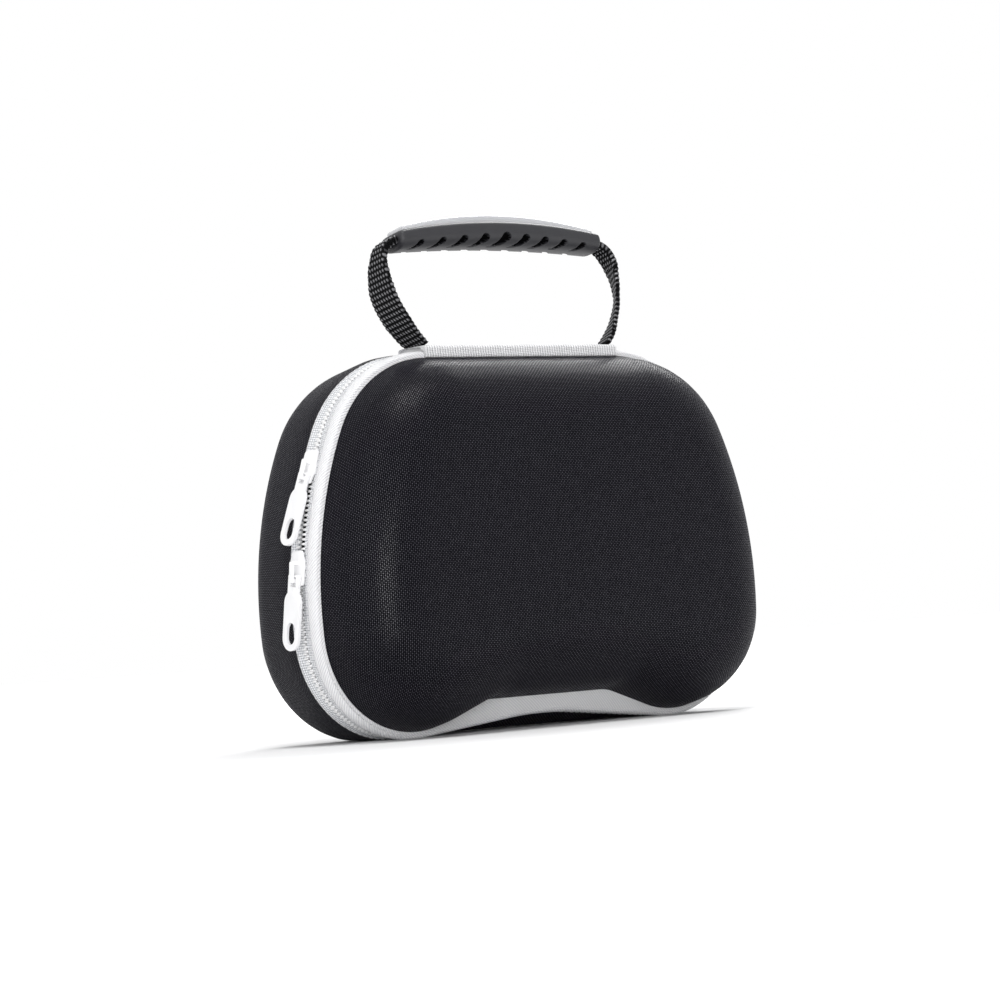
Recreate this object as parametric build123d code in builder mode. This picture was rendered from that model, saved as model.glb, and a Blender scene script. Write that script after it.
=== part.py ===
"""Controller carrying case: two moulded cloth-covered halves, a zip round the rim and a webbing handle.

Millimetres. +Z is up, the front looks towards -Y, and the case is mirrored about X = 0 apart from the
zip sliders on its left side. It stands on the two lobes at the bottom of its rim.
"""

import os
from math import acos, asin, atan2, cos, degrees, hypot, radians, sin

from build123d import *

# Rim outline, seen from the front
case_width = 185.0
case_height = 126.5
top_flat = 0.4454 * case_width
shoulder_radius = 0.2292 * case_width
side_radius = 0.7562 * case_width
lobe_radius = 0.1968 * case_width
rim_notch_rise = 4.8
rim_notch_radius = 0.81 * case_width
foot_flat = 0.15

# Halves
wall = 3.5
front_step = 2.3
shell_notch_rise = 8.5
shell_notch_radius = 13.0
shell_notch_setback = 0.875 * lobe_radius
front_depth = 25.2
front_draft = 12.0
front_round = front_depth - 1.2
rear_land = 3.6
rear_depth = 31.4
rear_draft = 9.0
rear_round = rear_depth - 10.4

# Band between the halves
zip_half = 4.4
binding_depth = 4.7
binding_round = 1.6
tape_depth_in = 1.9
tape_thickness = 1.2
tape_gap = 0.9
coil_height = 1.3
coil_core_width = 0.8
tooth_length = 0.9
tooth_width = 1.05
tooth_pitch = 2.1
zip_gap = 0.7

# Hinge band over the top
band_length = top_flat + 0.6
band_thickness = 1.8
band_lip_thickness = 1.2
band_round = 0.8

# Sliders and pulls
slider_length = 11.5
slider_nose_width = 7.8
slider_tail_width = 7.0
slider_plate = 0.7
slider_clearance = 0.3
slider_post_width = 0.8
slider_post_length = 3.2
slider_post_setback = 1.0
slider_lip = 0.7
slider_corner = 1.2
slider_under_gap = 0.4
slider_under_plate = 0.8
slider_under_width = 5.4
slider_under_length = 10.0
bail_width = 1.6
bail_length = 7.2
bail_drop = 1.2
bail_leg = 1.4
bail_window = 1.6
bail_arch = 0.9
upper_slider_z = 0.7115 * case_height
lower_slider_z = 0.4545 * case_height
pull_length = 24.0
pull_shoulder = 4.5
pull_width = 8.6
pull_neck_width = 5.6
pull_bar_radius = 0.5
pull_slot_width = 2.9
pull_slot_length = 3.3
pull_hole_width = 4.4
pull_hole_length = 7.0
pull_rim = 2.0
pull_tuck = 3.0
pull_lean = 8.0

# Handle
handle_plane = -4.9
handle_lean = 10.0
strap_width = 13.0
strap_foot_width = 10.4
strap_neck_width = 7.6
strap_thickness = 1.6
strap_clearance = 0.4
grip_length = 87.0
grip_end_width = 12.4
grip_width = 14.4
grip_end_bottom = case_height + 34.5
grip_mid_bottom = grip_end_bottom + 1.7
grip_end_top = grip_end_bottom + 6.1
grip_mid_top = grip_end_bottom + 9.7
grip_edge_round = 2.6
strap_foot_x = band_length / 2 - 0.8
strap_foot_depth = 3.0
strap_bulge_x = grip_length / 2 + 7.8
strap_bulge_z = grip_end_bottom - 11.0
strap_neck_x = grip_length / 2 + 4.6
strap_neck_z = grip_end_bottom + 0.6
strap_broad_low = grip_end_bottom - 24.0
strap_broad_high = grip_end_bottom - 9.3
strap_slim_low = grip_end_bottom - 0.8
channel_end_z = grip_end_bottom + 3.3
channel_mid_z = grip_end_bottom + 5.6
cap_width = 8.6
cap_length = grip_length - 4.6
cap_end_height = 1.5
cap_mid_height = 2.8
cap_round = 1.0
slot_count = 9
slot_pitch = grip_length / 9.9
slot_slant = 44.0
slot_mid_length = 8.5
slot_end_length = 6.1
slot_mid_width = 3.0
slot_end_width = 1.6
slot_depth = 1.7

# Fittings inside
pocket_top = 0.585 * case_height
pocket_thickness = 0.8
pocket_setback = 2.6
elastic_height = 7.0
elastic_thickness = 1.8
holding_strap_width = 28.0
holding_strap_z = 0.52 * case_height
holding_strap_thickness = 1.5
holding_strap_setback = 1.0

# Places that follow from the sizes above
front_reach = zip_half + binding_depth + front_depth
rear_reach = zip_half + rear_land + rear_depth
zip_y = (front_reach - rear_reach) / 2
top_half = top_flat / 2
side_centre_x = case_width / 2 - side_radius
shoulder_turn = degrees(acos((top_half - side_centre_x) / (side_radius - shoulder_radius)))
bottom_z = -foot_flat
shoulder_centre = (top_half, case_height - shoulder_radius)
side_centre_z = shoulder_centre[1] - (side_radius - shoulder_radius) * sin(radians(shoulder_turn))
lobe_drop = (bottom_z + lobe_radius - side_centre_z) / (side_radius - lobe_radius)
side_bottom_turn = degrees(asin(lobe_drop))
lobe_centre = (
    side_centre_x + (side_radius - lobe_radius) * cos(radians(side_bottom_turn)),
    bottom_z + lobe_radius,
)
rim_notch = (rim_notch_rise, 0.0, rim_notch_radius)
shell_notch = (shell_notch_rise, 2 * (lobe_centre[0] - shell_notch_setback), shell_notch_radius)


def facing_front(y):
    """Plane across the case at a distance y behind the middle of the zip, looking to the front."""
    return Plane(origin=(0, zip_y + y, 0), x_dir=(1, 0, 0), z_dir=(0, -1, 0))


def facing_rear(y):
    """The same plane looking to the rear. Its own X runs the other way, which the mirrored outline allows."""
    return Plane(origin=(0, zip_y + y, 0), x_dir=(-1, 0, 0), z_dir=(0, 1, 0))


def polar(centre, radius, turn):
    """Point at an angle on a circle in the outline's plane."""
    return (centre[0] + radius * cos(radians(turn)), centre[1] + radius * sin(radians(turn)))


def case_face(inset, notch, mode=Mode.ADD):
    """Outline of the case, a distance inside the rim, with a notch between its two lobes."""
    rise, flat, radius = notch
    rise, radius = rise + inset + bottom_z, radius + inset
    lobe = lobe_radius - inset
    notch_centre = (flat / 2, rise - radius)
    across = (lobe_centre[0] - notch_centre[0], lobe_centre[1] - notch_centre[1])
    touch = degrees(atan2(across[1], across[0]) + acos((radius + lobe) / hypot(*across)))
    side_centre = (side_centre_x, side_centre_z)
    with BuildLine() as rim:
        if flat:
            Line((0, rise), (flat / 2, rise))
        CenterArc(notch_centre, radius, 90, touch - 90)
        Line(polar(notch_centre, radius, touch), polar(lobe_centre, lobe, touch - 180))
        CenterArc(lobe_centre, lobe, touch - 180, side_bottom_turn - touch + 180)
        CenterArc(side_centre, side_radius - inset, side_bottom_turn, shoulder_turn - side_bottom_turn)
        CenterArc(shoulder_centre, shoulder_radius - inset, shoulder_turn, 90 - shoulder_turn)
        Line((top_half, case_height - inset), (0, case_height - inset))
        mirror(about=Plane.YZ)
    make_face(rim.edges(), mode=mode)


def level():
    """Cuts the two lobes flat where the case stands on them."""
    with Locations((0, zip_y, 0)):
        Box(
            2 * case_width,
            2 * (front_reach + rear_reach),
            lobe_radius,
            align=(Align.CENTER, Align.CENTER, Align.MAX),
            mode=Mode.SUBTRACT,
        )


def moulded_form(plane, inset, notch, land, depth, draft, edge_round):
    """Solid form of one half: a straight land at the rim, then a drafted dome with a rounded edge."""
    with BuildPart() as form:
        with BuildSketch(plane):
            case_face(inset, notch)
        extrude(amount=land)
        with BuildSketch(plane.offset(land)):
            case_face(inset, notch)
        extrude(amount=depth, taper=draft)
        far_face = form.faces().sort_by(Axis(plane.origin, plane.z_dir))[-1]
        fillet(far_face.edges(), edge_round)
    return form.part


front_outer = moulded_form(
    facing_front(-zip_half), front_step, shell_notch, binding_depth, front_depth, front_draft, front_round
)
front_space = moulded_form(
    facing_front(-zip_half),
    front_step + wall,
    shell_notch,
    binding_depth,
    front_depth - wall,
    front_draft,
    front_round - wall,
)
with BuildPart() as front_shell:
    add(front_outer)
    add(front_space, mode=Mode.SUBTRACT)
front_shell.part.label = "front_shell"

rear_outer = moulded_form(facing_rear(zip_half), 0, rim_notch, rear_land, rear_depth, rear_draft, rear_round)
rear_space = moulded_form(
    facing_rear(zip_half), wall, rim_notch, rear_land, rear_depth - wall, rear_draft, rear_round - wall
)
with BuildPart() as rear_shell:
    add(rear_outer)
    add(rear_space, mode=Mode.SUBTRACT)
    level()
rear_shell.part.label = "rear_shell"

with BuildPart() as front_binding:
    with BuildSketch(facing_front(-zip_half)):
        case_face(0, rim_notch)
        case_face(front_step, shell_notch, mode=Mode.SUBTRACT)
    extrude(amount=binding_depth)
    front_face = front_binding.faces().sort_by(Axis.Y)[0]
    fillet(front_face.outer_wire().edges(), binding_round)
    level()
front_binding.part.label = "front_binding"


def hinge_zone_cut():
    """Leaves out the stretch along the top where the hinge band takes the zip's place."""
    with Locations((0, zip_y, case_height)):
        Box(band_length, 4 * zip_half, case_height / 2, mode=Mode.SUBTRACT)


def tape(plane, label):
    """Zip tape of one half: a thin strip that follows the rim."""
    with BuildPart() as strip:
        with BuildSketch(plane):
            case_face(tape_depth_in, rim_notch)
            case_face(tape_depth_in + tape_thickness, rim_notch, mode=Mode.SUBTRACT)
        extrude(amount=zip_half - tape_gap)
        hinge_zone_cut()
    strip.part.label = label
    return strip.part


front_zip_tape = tape(facing_front(-tape_gap), "front_zip_tape")
rear_zip_tape = tape(facing_rear(tape_gap), "rear_zip_tape")


def tooth_places(phase):
    """Where the teeth stand along the rim, as places in the outline's plane."""
    with BuildSketch() as middle:
        case_face(tape_depth_in - coil_height / 2, rim_notch)
    rim = middle.sketch.faces()[0].outer_wire()
    count = round(rim.length / tooth_pitch)
    places = []
    for number in range(count):
        share = (number + phase) / count
        spot, run = rim.position_at(share), rim.tangent_at(share)
        if abs(spot.X) > (band_length + tooth_width) / 2 or spot.Y < case_height / 2:
            places.append(Location((spot.X, spot.Y, 0), (0, 0, degrees(atan2(run.Y, run.X)))))
    return places


def coil(facing, side, phase, label):
    """Zip coil of one half: a cord on the tape that carries the teeth."""
    with BuildPart() as row:
        with BuildSketch(facing(side * (zip_gap + tooth_length))):
            case_face(tape_depth_in - coil_height, rim_notch)
            case_face(tape_depth_in, rim_notch, mode=Mode.SUBTRACT)
        extrude(amount=coil_core_width)
        with BuildSketch(facing(side * zip_gap)):
            with Locations(*tooth_places(phase)):
                Rectangle(tooth_width, coil_height)
        extrude(amount=tooth_length)
        hinge_zone_cut()
    row.part.label = label
    return row.part


front_zip_coil = coil(facing_front, -1, 0.0, "front_zip_coil")
rear_zip_coil = coil(facing_rear, 1, 0.5, "rear_zip_coil")

band_front = zip_y - zip_half - binding_depth
band_rear = zip_y + zip_half
with BuildPart() as hinge_band:
    with BuildSketch(Plane.YZ.offset(-band_length / 2)) as section:
        with BuildLine():
            Polyline(
                (band_front - band_lip_thickness, case_height - front_step),
                (band_front - band_lip_thickness, case_height + band_thickness),
                (band_rear, case_height + band_thickness),
                (band_rear, case_height - wall),
                (band_rear - band_lip_thickness, case_height - wall),
                (band_rear - band_lip_thickness, case_height),
                (band_front, case_height),
                (band_front, case_height - front_step),
                close=True,
            )
        make_face()
        fillet(section.vertices().group_by(Axis.Y)[-1], band_round)
    extrude(amount=band_length)
hinge_band.part.label = "hinge_band"


def slider_plane(height):
    """Plane on the left side of the rim: X to the front, Y up along the zip, Z outwards."""
    turn = asin((height - side_centre_z) / side_radius)
    spot = (-side_centre_x - side_radius * cos(turn), zip_y, height)
    return Plane(origin=spot, x_dir=(0, -1, 0), z_dir=(-cos(turn), 0, sin(turn)))


coil_half = zip_gap + tooth_length + coil_core_width
plate_low = coil_height - tape_depth_in + slider_clearance
plate_high = plate_low + slider_plate
under_high = -tape_depth_in - tape_thickness - slider_under_gap
bar_up = -bail_drop - bail_length / 2 + bail_leg + slider_clearance + pull_bar_radius
bar_out = plate_high + bail_window / 2


def slider(height, nose, label):
    """Zip slider: a top plate, a plate under the tapes, the wedge between them and the bail."""
    plane = slider_plane(height)
    half = slider_length / 2
    lip_length = 4 * half / 3 - slider_corner
    with BuildPart() as body:
        with BuildSketch(plane.offset(plate_low)) as plate:
            Polygon(
                (-slider_tail_width / 2, -nose * half),
                (slider_tail_width / 2, -nose * half),
                (slider_nose_width / 2, nose * half / 3),
                (slider_nose_width / 3, nose * half),
                (-slider_nose_width / 3, nose * half),
                (-slider_nose_width / 2, nose * half / 3),
                align=None,
            )
            fillet(plate.vertices(), slider_corner)
        extrude(amount=slider_plate)
        with BuildSketch(plane.offset(plate_low)):
            with Locations((-coil_half - slider_clearance, nose * (half / 3 - lip_length / 2))):
                Rectangle(slider_lip, lip_length, align=(Align.MAX, Align.CENTER))
        extrude(amount=-(plate_low + tape_depth_in - slider_clearance))
        with BuildSketch(plane.offset(plate_low)):
            with Locations((0, nose * (half - slider_post_setback - slider_post_length / 2))):
                Rectangle(slider_post_width, slider_post_length)
        extrude(amount=under_high - plate_low)
        with BuildSketch(plane.offset(under_high)):
            RectangleRounded(slider_under_width, slider_under_length, slider_corner)
        extrude(amount=-slider_under_plate)
        side_view = Plane(origin=plane.origin, x_dir=plane.y_dir, z_dir=plane.x_dir)
        with BuildSketch(side_view) as arch:
            with Locations((-bail_drop, plate_high)):
                Rectangle(bail_length, bail_window + bail_arch, align=(Align.CENTER, Align.MIN))
            fillet(arch.vertices().group_by(Axis.Y)[-1], bail_arch)
            with Locations((-bail_drop, plate_high)):
                Rectangle(
                    bail_length - 2 * bail_leg,
                    bail_window,
                    align=(Align.CENTER, Align.MIN),
                    mode=Mode.SUBTRACT,
                )
        extrude(amount=bail_width / 2, both=True)
    body.part.label = label
    return body.part


upper_slider = slider(upper_slider_z, -1, "upper_slider")
lower_slider = slider(lower_slider_z, 1, "lower_slider")


def pull_plane(height):
    """Plane of a hanging pull: its bar lies along X, the tongue hangs down and X leans with it."""
    base = slider_plane(height)
    lean, tuck = radians(pull_lean), radians(pull_tuck)
    hang = base.y_dir * -cos(tuck) - base.z_dir * sin(tuck)
    out = base.z_dir * cos(tuck) - base.y_dir * sin(tuck)
    down = hang * cos(lean) - base.x_dir * sin(lean)
    return Plane(
        origin=base.origin + base.y_dir * bar_up + base.z_dir * bar_out, x_dir=out.cross(down), z_dir=out
    )


def pull(height, label):
    """Slider pull: a tongue with a hole near its round end, hung on a thin bar in the bail."""
    plane = pull_plane(height)
    tongue_length = pull_length - pull_shoulder
    with BuildPart() as tongue:
        with BuildSketch(plane.offset(-pull_bar_radius)):
            Rectangle(pull_neck_width, 2 * pull_shoulder, align=(Align.CENTER, Align.MAX))
            with Locations((0, -pull_shoulder - tongue_length / 2)):
                RectangleRounded(pull_width, tongue_length, pull_width / 2 - 0.1)
            Rectangle(
                pull_slot_width, pull_slot_length, align=(Align.CENTER, Align.MAX), mode=Mode.SUBTRACT
            )
            with Locations((0, -pull_length + pull_rim + pull_hole_length / 2)):
                SlotOverall(pull_hole_length, pull_hole_width, rotation=90, mode=Mode.SUBTRACT)
        extrude(amount=2 * pull_bar_radius)
        across = Plane(origin=plane.origin, x_dir=plane.y_dir, z_dir=plane.x_dir)
        with BuildSketch(across):
            Circle(pull_bar_radius)
        extrude(amount=pull_neck_width / 2, both=True)
    tongue.part.label = label
    return tongue.part


upper_pull = pull(upper_slider_z, "upper_pull")
lower_pull = pull(lower_slider_z, "lower_pull")

grip_half = grip_length / 2
grip_middle_y = zip_y + handle_plane
grip_top_radius = (grip_half**2 + (grip_mid_top - grip_end_top) ** 2) / (2 * (grip_mid_top - grip_end_top))
handle_view = facing_front(handle_plane)
strap_foot_z = case_height + band_thickness
handle_pivot = Axis((0, grip_middle_y, strap_foot_z), (1, 0, 0))


def webbing(clearance):
    """The webbing, or the space it needs with a clearance all round: slim in the grip, broad below it."""
    foot, wide, slim = (width / 2 + clearance for width in (strap_foot_width, strap_width, strap_neck_width))
    with BuildPart() as band:
        with BuildSketch(handle_view):
            with BuildLine():
                channel = ThreePointArc(
                    (grip_half, channel_end_z), (0, channel_mid_z), (-grip_half, channel_end_z)
                )
                right_leg = Spline(
                    (strap_foot_x - strap_foot_depth, strap_foot_z - strap_foot_depth),
                    (strap_bulge_x, strap_bulge_z),
                    (strap_neck_x, strap_neck_z),
                    tangents=[(0.8, 1), (-0.45, 1)],
                )
                right_bend = Spline(right_leg @ 1, channel @ 0, tangents=[right_leg % 1, channel % 0])
                mirror(right_leg, about=Plane.YZ)
                mirror(right_bend, about=Plane.YZ)
            trace(line_width=strap_thickness + 2 * clearance)
        extrude(amount=strap_width, both=True)
        with BuildSketch(Plane.YZ.offset(-strap_bulge_x - strap_width)):
            with Locations((grip_middle_y, 0)):
                Polygon(
                    (-foot, strap_foot_z - strap_foot_depth),
                    (foot, strap_foot_z - strap_foot_depth),
                    (wide, strap_broad_low),
                    (wide, strap_broad_high),
                    (slim, strap_slim_low),
                    (slim, grip_mid_top),
                    (-slim, grip_mid_top),
                    (-slim, strap_slim_low),
                    (-wide, strap_broad_high),
                    (-wide, strap_broad_low),
                    align=None,
                )
        extrude(amount=2 * (strap_bulge_x + strap_width), mode=Mode.INTERSECT)
    return band.part


def leaned(part, label):
    """A part of the handle, leaned back about its feet on the hinge band."""
    part = part.rotate(handle_pivot, -handle_lean)
    part.label = label
    return part


with BuildPart() as handle_strap:
    add(webbing(0).rotate(handle_pivot, -handle_lean))
    split(bisect_by=Plane.XY.offset(strap_foot_z), keep=Keep.TOP)
handle_strap.part.label = "handle_strap"


def grip_plan(inset):
    """Plan of the grip, widest in the middle, a distance inside its sides."""
    end, mid = grip_end_width / 2 - inset, grip_width / 2 - inset
    y = grip_middle_y
    with BuildLine() as edge:
        front_side = ThreePointArc((-grip_half, y - end), (0, y - mid), (grip_half, y - end))
        rear_side = ThreePointArc((grip_half, y + end), (0, y + mid), (-grip_half, y + end))
        Line(front_side @ 1, rear_side @ 0)
        Line(rear_side @ 1, front_side @ 0)
    make_face(edge.edges())


with BuildPart() as slot_cuts:
    with BuildSketch(handle_view):
        for number in range(slot_count):
            slot_x = (number - (slot_count - 1) / 2) * slot_pitch
            share = abs(slot_x) / (slot_pitch * (slot_count - 1) / 2)
            slot_length = slot_mid_length + (slot_end_length - slot_mid_length) * share
            slot_half = (slot_mid_width + (slot_end_width - slot_mid_width) * share) / 2
            foot_z = grip_mid_bottom - (grip_mid_bottom - grip_end_bottom) * (slot_x / grip_half) ** 2
            foot_x = slot_x - slot_length * sin(radians(slot_slant)) / 2
            with Locations(Location((foot_x, foot_z, 0), (0, 0, -slot_slant))):
                slot_head = slot_length - slot_half
                Polygon((0, 0), (slot_half, slot_head), (-slot_half, slot_head), align=None)
                with Locations((0, slot_head)):
                    Circle(slot_half)
    extrude(amount=grip_width, both=True)
    with BuildSketch(Plane.XY.offset(case_height)):
        grip_plan(slot_depth)
    extrude(amount=case_height, mode=Mode.SUBTRACT)

with BuildPart() as handle_grip:
    with BuildSketch(handle_view):
        with BuildLine():
            under = ThreePointArc(
                (-grip_half, grip_end_bottom), (0, grip_mid_bottom), (grip_half, grip_end_bottom)
            )
            over = ThreePointArc((-grip_half, grip_end_top), (0, grip_mid_top), (grip_half, grip_end_top))
            Line(under @ 0, over @ 0)
            Line(under @ 1, over @ 1)
        make_face()
    extrude(amount=grip_width, both=True)
    with BuildSketch(Plane.XY.offset(case_height)):
        grip_plan(0)
    extrude(amount=case_height, mode=Mode.INTERSECT)
    fillet(handle_grip.edges(), grip_edge_round)
    add(slot_cuts.part, mode=Mode.SUBTRACT)
    add(webbing(strap_clearance), mode=Mode.SUBTRACT)

cap_half = cap_length / 2
cap_end_bottom = grip_mid_top - grip_top_radius + (grip_top_radius**2 - cap_half**2) ** 0.5
cap_end_top = cap_end_bottom + cap_end_height
cap_mid_top = grip_mid_top + cap_mid_height
with BuildPart() as grip_cap:
    with BuildSketch(handle_view):
        with BuildLine():
            seat = ThreePointArc((-cap_half, cap_end_bottom), (0, grip_mid_top), (cap_half, cap_end_bottom))
            crown = ThreePointArc((-cap_half, cap_end_top), (0, cap_mid_top), (cap_half, cap_end_top))
            Line(seat @ 0, crown @ 0)
            Line(seat @ 1, crown @ 1)
        make_face()
    extrude(amount=cap_width / 2, both=True)
    crown_face = grip_cap.faces().sort_by(Axis.Z)[-1]
    fillet(crown_face.edges(), cap_round)


def across_front(setback, thickness, low, high, label):
    """Sheet across the inside of the front half, between two heights and cut to the shell."""
    with BuildPart() as sheet:
        with BuildSketch(facing_front(-zip_half - setback)):
            case_face(front_step + wall, shell_notch)
            with Locations((0, (low + high) / 2)):
                Rectangle(case_width, high - low, mode=Mode.INTERSECT)
        extrude(amount=thickness)
    sheet.part.label = label
    return sheet.part


mesh_pocket = across_front(pocket_setback, pocket_thickness, 0, pocket_top, "mesh_pocket")
elastic_setback = pocket_setback - (elastic_thickness - pocket_thickness) / 2
pocket_elastic = across_front(
    elastic_setback, elastic_thickness, pocket_top, pocket_top + elastic_height, "pocket_elastic"
)

with BuildPart() as retaining_strap:
    with BuildSketch(facing_rear(zip_half + holding_strap_setback)):
        case_face(wall, rim_notch)
        with Locations((0, holding_strap_z)):
            Rectangle(case_width, holding_strap_width, mode=Mode.INTERSECT)
    extrude(amount=holding_strap_thickness)
retaining_strap.part.label = "retaining_strap"

os.makedirs("parts", exist_ok=True)
for piece in (
    front_shell.part,
    rear_shell.part,
    front_binding.part,
    front_zip_tape,
    rear_zip_tape,
    front_zip_coil,
    rear_zip_coil,
    hinge_band.part,
    upper_slider,
    lower_slider,
    upper_pull,
    lower_pull,
    handle_strap.part,
    leaned(handle_grip.part, "handle_grip"),
    leaned(grip_cap.part, "grip_cap"),
    mesh_pocket,
    pocket_elastic,
    retaining_strap.part,
):
    export_step(piece, f"parts/{piece.label}.step")
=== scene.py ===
"""Controller carrying case: moulded cloth shells, a zip with two sliders and a webbing handle.

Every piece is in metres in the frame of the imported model, which is loaded first. Sizes below are in
millimetres, and the skin function turns them into metres.
"""

from math import acos, asin, atan2, cos, degrees, hypot, pi, radians, sin, tan

import bpy
import numpy as np
from mathutils import Matrix, Vector


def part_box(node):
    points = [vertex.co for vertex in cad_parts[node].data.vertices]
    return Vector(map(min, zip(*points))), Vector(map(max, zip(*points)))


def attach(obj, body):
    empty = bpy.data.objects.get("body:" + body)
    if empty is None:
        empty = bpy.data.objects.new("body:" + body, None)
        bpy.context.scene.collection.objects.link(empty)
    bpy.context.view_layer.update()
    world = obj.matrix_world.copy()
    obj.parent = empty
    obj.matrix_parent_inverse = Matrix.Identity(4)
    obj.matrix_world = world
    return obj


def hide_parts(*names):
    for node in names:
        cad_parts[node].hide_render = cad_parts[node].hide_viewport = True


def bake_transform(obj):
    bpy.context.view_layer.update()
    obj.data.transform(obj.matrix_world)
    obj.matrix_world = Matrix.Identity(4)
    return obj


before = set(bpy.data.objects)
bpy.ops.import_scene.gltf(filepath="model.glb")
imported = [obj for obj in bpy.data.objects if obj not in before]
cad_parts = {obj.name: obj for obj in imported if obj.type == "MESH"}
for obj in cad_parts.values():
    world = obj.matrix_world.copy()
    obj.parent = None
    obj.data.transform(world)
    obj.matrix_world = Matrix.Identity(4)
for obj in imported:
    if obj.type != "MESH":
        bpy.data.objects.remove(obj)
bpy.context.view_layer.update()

bl_info = {
    "name": "Controller carrying case",
    "version": (1, 0, 0),
    "blender": (4, 5, 0),
    "location": "View3D > Sidebar > Case",
    "description": "Builds the cloth, zip, binding and handle of a moulded carrying case",
    "category": "Add Mesh",
}

MM = 0.001

# Rim outline, seen from the front
case_width = 185.0
case_height = 126.5
top_half = 0.2227 * case_width
shoulder_radius = 0.2292 * case_width
side_radius = 0.7562 * case_width
lobe_radius = 0.1968 * case_width
bottom_z = -0.15

# Depths, measured from the middle of the zip
zip_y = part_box("rear_shell")[0].y / MM - 4.4
zip_half = 4.4
binding_depth = 4.7
wall = 3.5
front_step = 2.3
front_dome = (25.2, 12.0, 24.0)
rear_land = 3.6
rear_dome = (31.4, 9.0, 21.0)
rear_wall = 13.7
level_reach = 26.0
notch_loss = 4.7
notch_fade = 12.0

# Zip
tooth_reach = 0.3
tooth_root = 1.35
tooth_width = 0.74
tooth_height = 1.25
tooth_edge = 0.26
stitch_size = (1.75, 0.40, 0.36)
stitch_edge = 0.16
stitch_lean = 12.0
tooth_inset = 1.22
seam_inset = 0.34
seam_y = 4.0
band_round = 0.9
band_crown = 0.28
zip_spread = 0.95
upper_slider_z = 90.0
lower_slider_z = 57.5
slider_half = 5.75

# Webbing: steps of its weave along it and across it
webbing_row = 1.8
webbing_bump = 1.4
webbing_slant = 0.35
webbing_step = 0.32
yarn_height = 0.34
net_cell = 2.6
leg_inside = 43.0
leg_low = 140.0

# Handle, measured upright before it leans back about its feet
handle_lean = 10.0
handle_plane = -4.9
foot_z = 128.3
grip_length = 87.0
grip_low = case_height + 34.5
grip_depth = 6.1
grip_half_width = 6.2
grip_tip = 1.5
grip_points = 170
slot_count = 9
slot_step = grip_length / 9.9
slot_depth = 0.36
slot_foot = 1.5
slot_blend = 1.4
slot_rim = 0.90
round_above = 0.45
round_below = 0.84
webbing_line = (
    (40.2, 128.3),
    (43.0, 131.2),
    (47.4, 137.6),
    (50.7, 145.4),
    (51.3, 151.8),
    (50.3, 158.2),
    (47.9, 162.3),
    (44.6, 164.2),
    (40.0, 164.65),
    (20.0, 166.1),
    (0.0, 166.6),
)

# Stage, in metres, watts and degrees. Each lamp has a name, place, height of its aim, size and power. The
# floor glows more between two distances from the middle, by a strength.
sky_strength = 0.46
floor_glow = ((0.08, 0.34, 0.30), (0.15, 1.3, 0.42))
lamps = (
    ("softbox_top", (-0.25, -0.35, 1.35), 0.1, 0.7, 10.5),
    ("softbox_back", (0.75, 0.5, 0.85), 0.1, 0.6, 11.0),
    ("softbox_left", (-1.5, -0.55, 0.7), 0.08, 0.8, 3.0),
    ("softbox_low", (-0.8, -1.1, 0.10), 0.04, 0.5, 8.0),
)
camera_angles = (-39.32, -2.05, 4.17)
camera_distance = 1.1853
camera_aim = 0.07425
camera_focus = 3507.62
camera_shift = (-0.01502, 0.00709)
photo_width = 1000
film_width = 36.0

# Outline, worked out
side_centre_x = case_width / 2 - side_radius
shoulder_turn = degrees(acos((top_half - side_centre_x) / (side_radius - shoulder_radius)))
shoulder_centre = (top_half, case_height - shoulder_radius)
side_centre_z = shoulder_centre[1] - (side_radius - shoulder_radius) * sin(radians(shoulder_turn))
side_bottom_turn = degrees(asin((bottom_z + lobe_radius - side_centre_z) / (side_radius - lobe_radius)))
lobe_centre = (
    side_centre_x + (side_radius - lobe_radius) * cos(radians(side_bottom_turn)),
    bottom_z + lobe_radius,
)
rim_notch = (4.8, 0.0, 0.81 * case_width)
shell_notch = (8.5, 2 * lobe_centre[0] - 1.75 * lobe_radius, 13.0)


def arc(centre, radius, start, end, count):
    """Points on a circle, from one angle in degrees to another."""
    turns = np.radians(np.linspace(start, end, count))
    return np.stack([centre[0] + radius * np.cos(turns), centre[1] + radius * np.sin(turns)], axis=1)


def spaced(points, count):
    """The same open line with its points at even distances."""
    run = run_length(points)
    even = np.linspace(0, run[-1], count)
    return np.stack([np.interp(even, run, points[:, axis]) for axis in range(points.shape[1])], axis=1)


def eased(share):
    """A share from 0 to 1 that starts and ends softly."""
    return share * share * (3 - 2 * share)


def outline(inset, notch, step, over_top=True):
    """Outline of the case a distance inside the rim, from the middle of the top down the left side."""
    rise, flat, radius = notch
    rise, radius = rise + inset + bottom_z, radius + inset
    lobe = lobe_radius - inset
    notch_centre = (flat / 2, rise - radius)
    across = (lobe_centre[0] - notch_centre[0], lobe_centre[1] - notch_centre[1])
    touch = degrees(atan2(across[1], across[0]) + acos((radius + lobe) / hypot(*across)))
    under = np.concatenate(
        [
            np.linspace((0.0, rise), (flat / 2, rise), 30),
            arc(notch_centre, radius, 90, touch, 40)[1:],
            arc(lobe_centre, lobe, touch - 180, -90, 40),
        ]
    )
    side_centre = (side_centre_x, side_centre_z)
    runs = [
        spaced(under, round(62 / step)),
        arc(lobe_centre, lobe, -90, side_bottom_turn, round(55 / step))[1:],
        arc(side_centre, side_radius - inset, side_bottom_turn, shoulder_turn, round(70 / step))[1:],
        arc(shoulder_centre, shoulder_radius - inset, shoulder_turn, 90, round(49 / step))[1:],
    ]
    if over_top:
        top = case_height - inset
        runs.append(np.linspace((top_half, top), (0, top), round(42 / step))[1:])
    right = np.concatenate(runs)
    left = right[::-1] * (-1, 1)
    return np.concatenate([left[:-1], right])


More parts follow.
